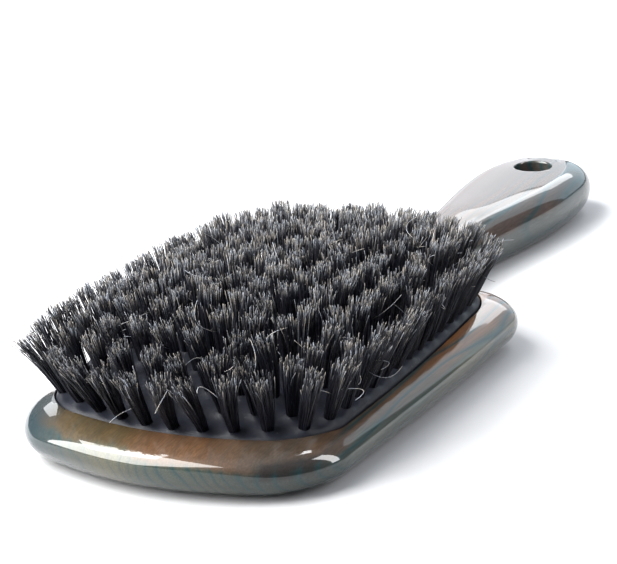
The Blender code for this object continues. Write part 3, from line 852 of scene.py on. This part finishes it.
# %% [markdown]
# ## The rubber cushion
# The cushion is a thin moulded dome. Its flange sits in the groove of the wood, its side
# climbs out of the recess, and a rounded shoulder leads to the crown. The rubber is
# drawn up into a small mound around each tuft, because it was pushed through a hole that
# is tighter than itself. The mounds are part of the rings from the start.

# %% Grow the cushion
FIT, WALL = 0.3 * MM, 1.5 * MM
PROUD, PROUD_RUN = 1.1 * MM, 34 * MM
SHOULDER, CROWN, DOME_POWER = 1.8 * MM, 4.6 * MM, 2.2
SHOULDER_STEPS, CROWN_STEPS = 6, 56
FLANGE_TOP = GROOVE_LEVEL + GROOVE_HEIGHT / 2 - FIT
MOUND, MOUND_SPREAD = 0.9 * MM, 1.4 * MM
feet = np.array([tuple(foot) for foot, _ in TUFTS])
ways = np.array([tuple(way) for _, way in TUFTS])


def with_mounds(ring):
    """A ring of the dome, raised towards each nearby tuft's direction."""
    places = np.array([tuple(p) for p in ring])
    apart = np.linalg.norm(places[:, None, :2] - feet[None, :, :2], axis=2)
    rise = MOUND * np.exp(-apart ** 2 / (2 * MOUND_SPREAD ** 2))
    return [Vector(p) for p in places + rise @ ways]


def shoulder_top(y):
    """Height of the top of the cushion's side, which dips towards the front."""
    share = ease((y - FRONT_Y - FRONT_RIM) / PROUD_RUN)
    return head_top(y) + PROUD * share


def cushion_rings():
    """The cushion's outer skin, from the flange's rim to the middle of the crown."""
    plan = [widened_recess(out) for out in (GROOVE_DEPTH - FIT, -FIT)]
    rings = [in_space(line, [FLANGE_TOP] * len(line)) for line in plan]
    for step in range(SHOULDER_STEPS + 1):
        angle = math.pi / 2 * step / SHOULDER_STEPS
        line = widened_recess(-FIT - SHOULDER * (1 - math.cos(angle)))
        drop = SHOULDER * (1 - math.sin(angle))
        rings.append(in_space(line, [shoulder_top(p.y) - drop for p in line]))
    centre = Vector((0, RECESS_MIDDLE_Y))
    for share in np.linspace(1, 0, CROWN_STEPS)[1:-1]:
        ring = [centre + (p - centre) * share for p in line]
        rise = CROWN * (1 - share ** DOME_POWER)
        rings.append(in_space(ring, [shoulder_top(p.y) + rise for p in ring]))
    return rings[:3] + [with_mounds(ring) for ring in rings[3:]]


rings = cushion_rings()
cushion = grow("domed_cushion", rings)
close_with_strips(cushion, -1, len(rings[0]))
facing_out(cushion)
# An open skin has no inside yet, so it may have come out facing down.
if sum(face.normal.z for face in cushion.data.polygons) < 0:
    edit(cushion)
    bpy.ops.mesh.select_all(action="SELECT")
    bpy.ops.mesh.flip_normals()
only(cushion)
wall = cushion.modifiers.new("wall", "SOLIDIFY")
wall.thickness, wall.offset = WALL, -1
bpy.ops.object.modifier_apply(modifier=wall.name)
print("the cushion has", len(cushion.data.polygons), "faces")

# %% Punch the tuft holes
PUNCH = {"vertices": 14, "radius": 1.4 * MM, "depth": 7 * MM}
bpy.ops.object.select_all(action="DESELECT")
bpy.ops.mesh.primitive_cylinder_add(**PUNCH)
punch = bpy.context.object
bpy.ops.object.mode_set(mode="EDIT")
bpy.ops.mesh.delete(type="VERT")
for foot, way in TUFTS:
    bpy.ops.mesh.primitive_cylinder_add(**PUNCH, location=foot,
                                        rotation=way.to_track_quat("Z", "Y").to_euler())
bpy.ops.object.mode_set(mode="OBJECT")
cut_out(cushion, punch)
smooth_shaded(cushion, 50)
print("punched, it has", len(cushion.data.polygons), "faces")

# %% [markdown]
# ## Black rubber
# Moulded rubber is dark slate rather than black, and quite dull. It is a little paler
# where the mould left its bloom, and fine dust clings to it.

# %% Rubber finish
def black_rubber():
    """Dull dark rubber with a faint bloom, a few specks of dust and a fine grain."""
    rubber, tree, shader = new_material("black_rubber", Roughness=0.5)
    shader.inputs["Specular IOR Level"].default_value = 0.2
    place = node(tree, "TexCoord").outputs["Object"]
    bloom = placed(tree, patches, {"Place": place, "Scale": 120.0, "Low": 0.3, "High": 0.7})
    dust = placed(tree, specks, {"Place": place, "Scale": 700.0, "Size": 0.2})
    colour = mixed(tree, bloom, (0.0035, 0.004, 0.008, 1), (0.007, 0.008, 0.014, 1))
    colour = mixed(tree, times(tree, dust, 0.5), colour, (0.09, 0.09, 0.09, 1))
    tree.links.new(colour, shader.inputs["Base Color"])
    tree.links.new(calc(tree, "MULTIPLY_ADD", bloom, 0.12, 0.45), shader.inputs["Roughness"])
    grain = node(tree, "TexNoise", {"Vector": place, "Scale": 1500.0,
                                    "Detail": 2.0}).outputs["Fac"]
    bump = node(tree, "Bump", {"Strength": 0.3, "Distance": 0.0001, "Height": grain})
    tree.links.new(bump.outputs["Normal"], shader.inputs["Normal"])
    return rubber


# %% Put the cushion in the frame
cushion.data.materials.clear()
cushion.data.materials.append(black_rubber())
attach(cushion, "paddle")
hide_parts("rubber_cushion")
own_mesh(cushion)

# %% [markdown]
# ## One bristle
# A bristle is modelled once, as a slender three-sided cone that is cut across a few
# times so that it can bend. Thousands of copies of it make the rows, so three sides are
# all it has, and smooth shading rounds them.

# %% Model one bristle
SHARES = np.array([0, 0.17, 0.32, 0.46, 0.60, 0.74, 0.88, 0.98, 1])
SPANS = len(SHARES) - 1
bpy.ops.object.select_all(action="DESELECT")
bpy.ops.mesh.primitive_cone_add(vertices=3, radius1=1, radius2=0, depth=1,
                                location=(0, 0, 0.5))
bristle = bpy.context.object
bpy.ops.object.transform_apply(location=True, rotation=False, scale=False)
edit(bristle)
for cut in range(1, SPANS):
    bpy.ops.mesh.select_all(action="SELECT")
    bpy.ops.mesh.bisect(plane_co=(0, 0, cut / SPANS), plane_no=(0, 0, 1))
bpy.ops.object.mode_set(mode="OBJECT")
shape = np.array([tuple(v.co) for v in bristle.data.vertices])
LEVEL = np.rint(shape[:, 2] * SPANS).astype(int)
AROUND = np.arctan2(shape[:, 1], shape[:, 0])
BRISTLE_FACES = [tuple(face.vertices) for face in bristle.data.polygons]
bpy.data.objects.remove(bristle, do_unlink=True)
print("one bristle has", len(shape), "corners and", len(BRISTLE_FACES), "faces")

# %% Helpers for many bristles
def strands(lines, radii):
    """Corners of many bristles: lines is (bristle, level, 3) and radii is (bristle, level)."""
    along = np.gradient(lines, axis=1)
    along /= np.linalg.norm(along, axis=2, keepdims=True)
    mean = lines[:, -1] - lines[:, 0]
    hint = np.cross(mean, (0.3, 1.0, 0.2))
    across = np.cross(along, hint[:, None, :])
    across /= np.linalg.norm(across, axis=2, keepdims=True)
    aside = np.cross(along, across)
    turn = AROUND[None, :, None]
    return (lines[:, LEVEL] + radii[:, LEVEL, None]
            * (np.cos(turn) * across[:, LEVEL] + np.sin(turn) * aside[:, LEVEL]))


def mesh_of(name, lines, radii, marks):
    """One mesh of many bristles, with each mark stored on its corners."""
    corners = strands(lines, radii).reshape(-1, 3)
    size = len(shape)
    faces = [tuple(v + size * number for v in face)
             for number in range(len(lines)) for face in BRISTLE_FACES]
    mesh = bpy.data.meshes.new(name)
    mesh.from_pydata(corners.tolist(), [], faces)
    for mark, values in marks.items():
        store = mesh.attributes.new(mark, "FLOAT", "POINT")
        store.data.foreach_set("value", values[:, LEVEL].reshape(-1).astype(np.float32))
    piece = bpy.data.objects.new(name, mesh)
    bpy.context.collection.objects.link(piece)
    return piece


# %% [markdown]
# ## A tuft
# A tuft is a pinch of bristles that is folded over a wire under the rubber and comes up
# through one hole. The bristles leave the hole close together and spread towards their
# ends. They were cut at slightly different lengths and no two bend alike.

# %% Comb a tuft
HAIRS, HAIR_RADIUS = 96, 0.125 * MM
FOOT_SPREAD, END_SPREAD = 1.2 * MM, 2.9 * MM
ROOT = 2.9 * MM
LOCKS, LOCK_PULL = 6, 0.35
BEND, CURL, SWAY, CURL_FROM = 0.6 * MM, 0.28 * MM, 0.75 * MM, 0.74
STRAYS = 8
chance = np.random.default_rng(7)


def comb(foot, way):
    """The lines, radii and paleness of one tuft's bristles."""
    aside = np.array(way.orthogonal().normalized())
    ahead = np.cross(np.array(way), aside)
    turn = chance.uniform(0, 2 * math.pi, HAIRS)
    reach = np.sqrt(chance.uniform(0, 1, HAIRS))
    spot = np.stack([reach * np.cos(turn), reach * np.sin(turn)], axis=1)
    locks = chance.uniform(-0.75, 0.75, (LOCKS, 2))
    nearest = locks[np.argmin(np.linalg.norm(spot[:, None] - locks[None], axis=2), axis=1)]
    length = TUFT_LENGTH * chance.uniform(0.97, 1.05) * chance.uniform(0.93, 1.05, HAIRS)
    length *= np.where(chance.random(HAIRS) < 0.1, chance.uniform(0.72, 0.92, HAIRS), 1)
    height = -ROOT + (length + ROOT)[:, None] * SHARES
    up = np.clip(height / TUFT_LENGTH, 0, None)
    spread = np.where(height < 0, FOOT_SPREAD * (1 + 0.5 * height / ROOT),
                      FOOT_SPREAD + (END_SPREAD - FOOT_SPREAD) * up ** 0.8)
    bend = chance.normal(0, BEND, (HAIRS, 2))
    curl = chance.normal(0, CURL, (HAIRS, 2))
    sway = chance.normal(0, SWAY, 2)
    late = np.clip(SHARES - CURL_FROM, 0, 1) / (1 - CURL_FROM)
    pull = LOCK_PULL * up
    lean = [(spot[:, i, None] * (1 - pull) + nearest[:, i, None] * pull) * spread
            + (bend[:, i, None] + sway[i]) * up ** 2 + curl[:, i, None] * late ** 2
            for i in (0, 1)]
    lines = (np.array(foot) + height[..., None] * np.array(way)
             + lean[0][..., None] * aside + lean[1][..., None] * ahead)
    thick = HAIR_RADIUS * chance.uniform(0.7, 1.25, HAIRS)
    radii = thick[:, None] * (1 - 0.3 * SHARES ** 2)
    radii[:, -1] = 0
    run = chance.uniform(1.2, 3.8, HAIRS) * MM
    run = np.where(chance.random(HAIRS) < 0.06, chance.uniform(6, 12, HAIRS) * MM, run)
    bleached = np.where(chance.random(HAIRS) < 0.6, chance.uniform(0.3, 1, HAIRS), 0.04)
    pale = np.clip(1 - (length[:, None] - height) / run[:, None], 0, 1) * bleached[:, None]
    return lines, radii, pale


def strays(row, count):
    """A few loose pale bristles that curl out of a row's tufts."""
    lines, radii, pale = [], [], []
    for _ in range(count):
        foot, way = row[chance.integers(len(row))]
        aside = np.array(way.orthogonal().normalized())
        ahead = np.cross(np.array(way), aside)
        turn, tip = chance.uniform(0, 2 * math.pi), chance.uniform(0.5, 1.5)
        out = math.cos(turn) * aside + math.sin(turn) * ahead
        start = (np.array(foot) + np.array(way) * chance.uniform(4, 13) * MM
                 + out * chance.uniform(0, 1.2) * MM)
        bow = np.cross(out, np.array(way)) * chance.normal(0, 2.5 * MM)
        run = chance.uniform(5, 11) * MM * SHARES[:, None]
        lines.append(start + run * (np.array(way) * chance.uniform(-0.1, 0.9) + out * tip * 0.6)
                     + bow * (SHARES * (1 - SHARES) * 4)[:, None])
        thick = np.full(SPANS + 1, HAIR_RADIUS * 0.75)
        thick[-1] = 0
        radii.append(thick)
        pale.append(np.full(SPANS + 1, chance.uniform(0.5, 1.0)))
    return np.array(lines), np.array(radii), np.array(pale)


def row_piece(number, row):
    """All the bristles of one row as one mesh."""
    tufts = [comb(foot, way) for foot, way in row] + [strays(row, STRAYS)]
    lines, radii, pale = (np.concatenate(part) for part in zip(*tufts))
    return mesh_of(f"bristle_row_{number:02d}", lines, radii, {"pale": pale})


# %% [markdown]
# ## Bristle finish
# The hair is natural black bristle. Its ends split as they wear, and split ends scatter
# light, so they look pale and a little warm. The paleness is stored on each bristle's
# corners when it is combed, and the finish only reads it.

# %% Bristle finish and rows
def black_bristle():
    """Near-black hair whose worn ends are pale."""
    hair, tree, shader = new_material("black_bristle", Roughness=0.38)
    shader.inputs["Specular IOR Level"].default_value = 0.35
    pale = node(tree, "Attribute", attribute_name="pale").outputs["Fac"]
    place = node(tree, "TexCoord").outputs["Object"]
    warm = placed(tree, patches, {"Place": place, "Scale": 420.0, "Low": 0.4, "High": 0.6})
    dark = mixed(tree, warm, (0.006, 0.007, 0.012, 1), (0.010, 0.010, 0.014, 1))
    light = mixed(tree, warm, (0.24, 0.26, 0.30, 1), (0.31, 0.28, 0.25, 1))
    tree.links.new(mixed(tree, pale, dark, light), shader.inputs["Base Color"])
    tree.links.new(calc(tree, "MULTIPLY_ADD", pale, 0.25, 0.36), shader.inputs["Roughness"])
    return hair


hair = black_bristle()
pieces = []
for number, row in enumerate(ROWS, start=1):
    piece = row_piece(number, row)
    piece.data.materials.append(hair)
    piece.data.shade_smooth()
    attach(piece, f"row_{number:02d}")
    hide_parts(f"tuft_row_{number:02d}")
    pieces.append(piece)
print("the bristles have", sum(len(p.data.polygons) for p in pieces), "faces")
